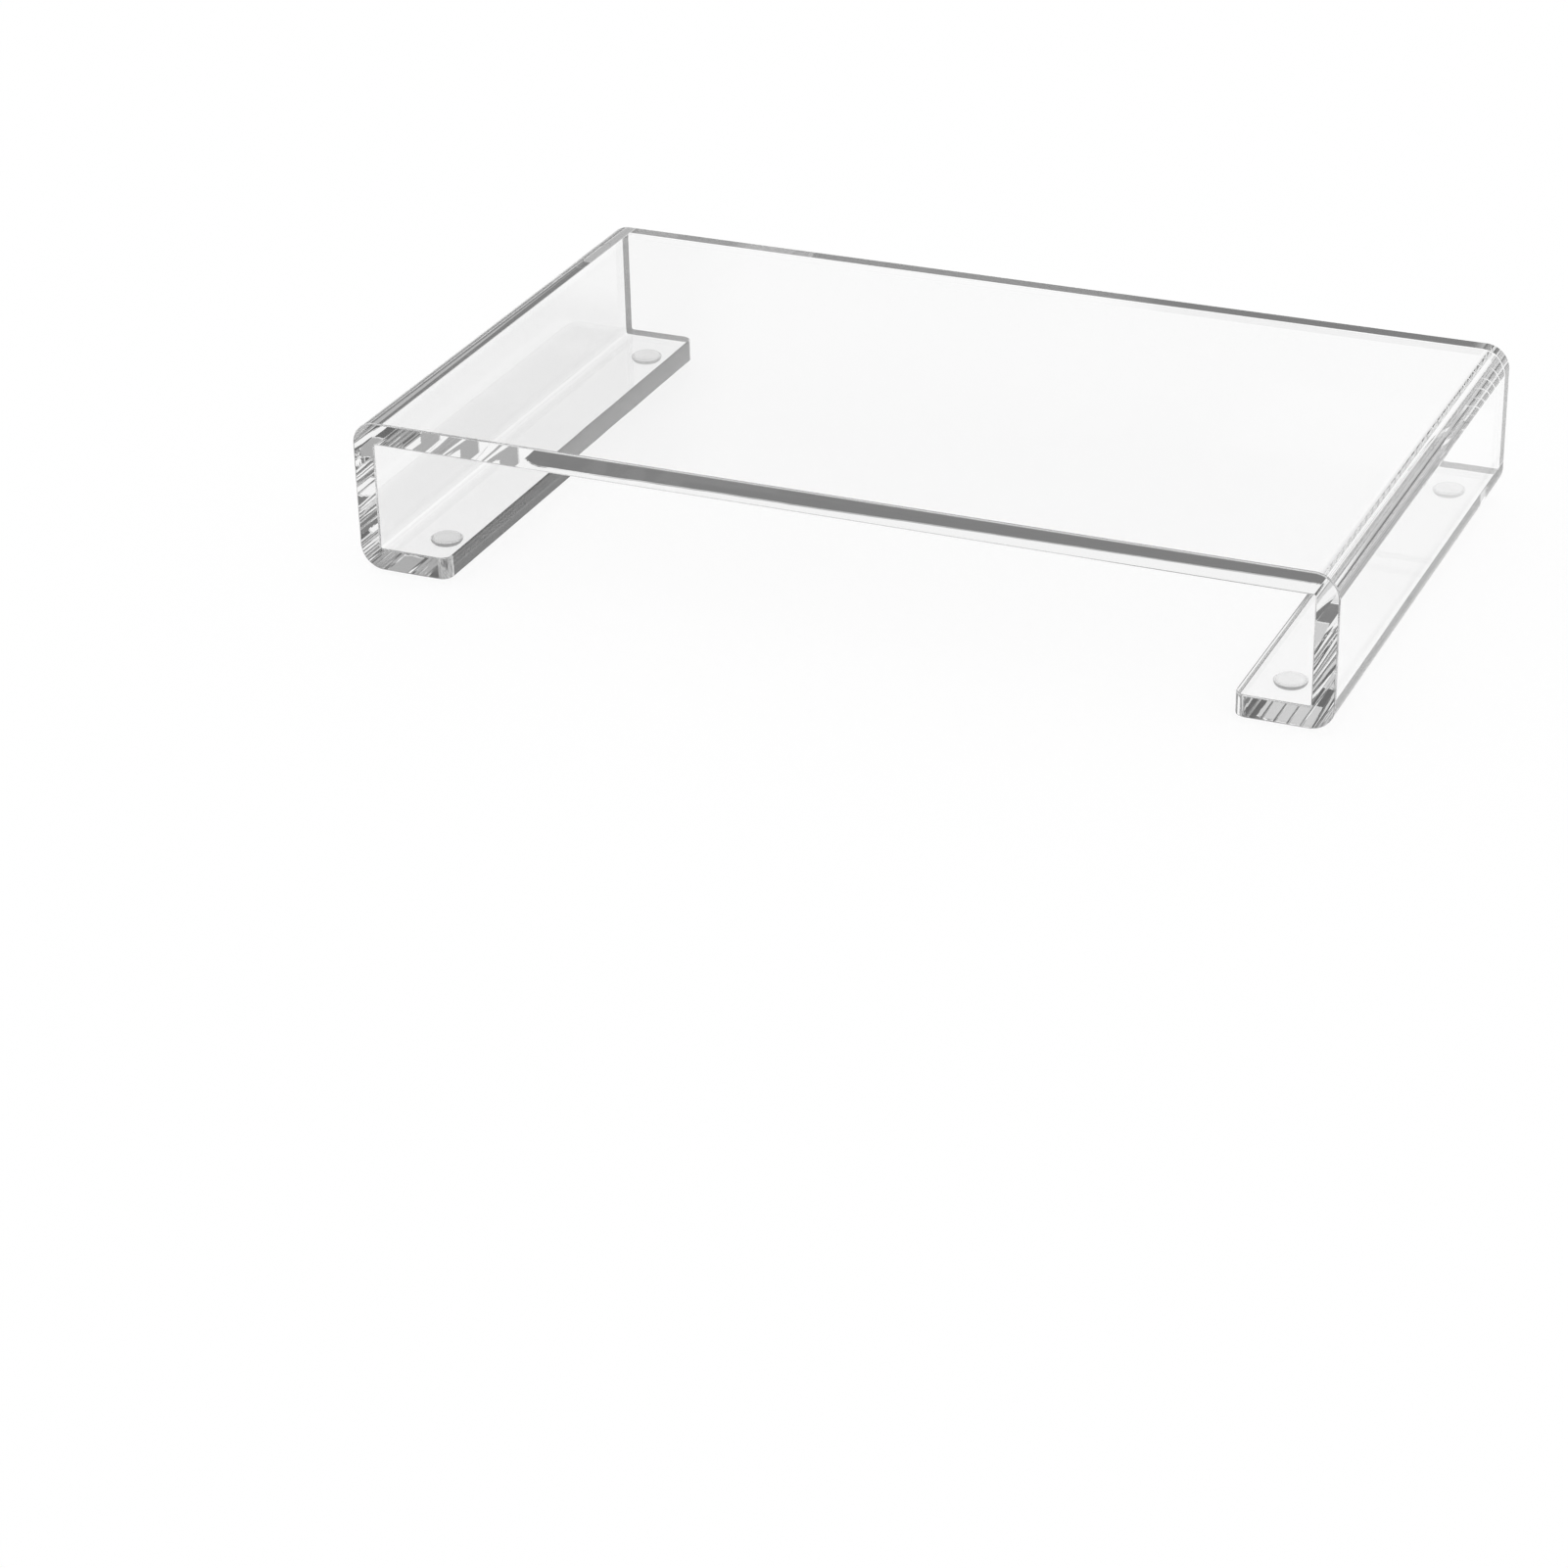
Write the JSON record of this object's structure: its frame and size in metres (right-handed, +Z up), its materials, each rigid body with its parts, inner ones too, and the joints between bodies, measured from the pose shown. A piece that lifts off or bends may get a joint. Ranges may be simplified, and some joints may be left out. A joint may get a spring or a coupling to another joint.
{
  "type": "acrylic riser",
  "caption": "Low clear acrylic riser for a vanity or shelf: a sheet bent into a bridge with turned-in feet on small round bumpers.",
  "frame": {"origin": "on the surface that the riser stands on, under the middle of the riser", "axes": "+X along the riser's length to the right, +Y towards the back, +Z up"},
  "size_m": [0.2586, 0.15, 0.0422],
  "materials": {
    "acrylic": "clear cast acrylic, polished faces and edges",
    "bumper": "clear soft polyurethane, smooth",
    "adhesive": "clear adhesive film"
  },
  "bodies": {
    "root": {"bent_sheet": "acrylic", "front_left_bumper": "bumper", "front_left_adhesive": "adhesive", "front_right_bumper": "bumper", "front_right_adhesive": "adhesive", "back_left_bumper": "bumper", "back_left_adhesive": "adhesive", "back_right_bumper": "bumper", "back_right_adhesive": "adhesive"}
  },
  "joints": []
}
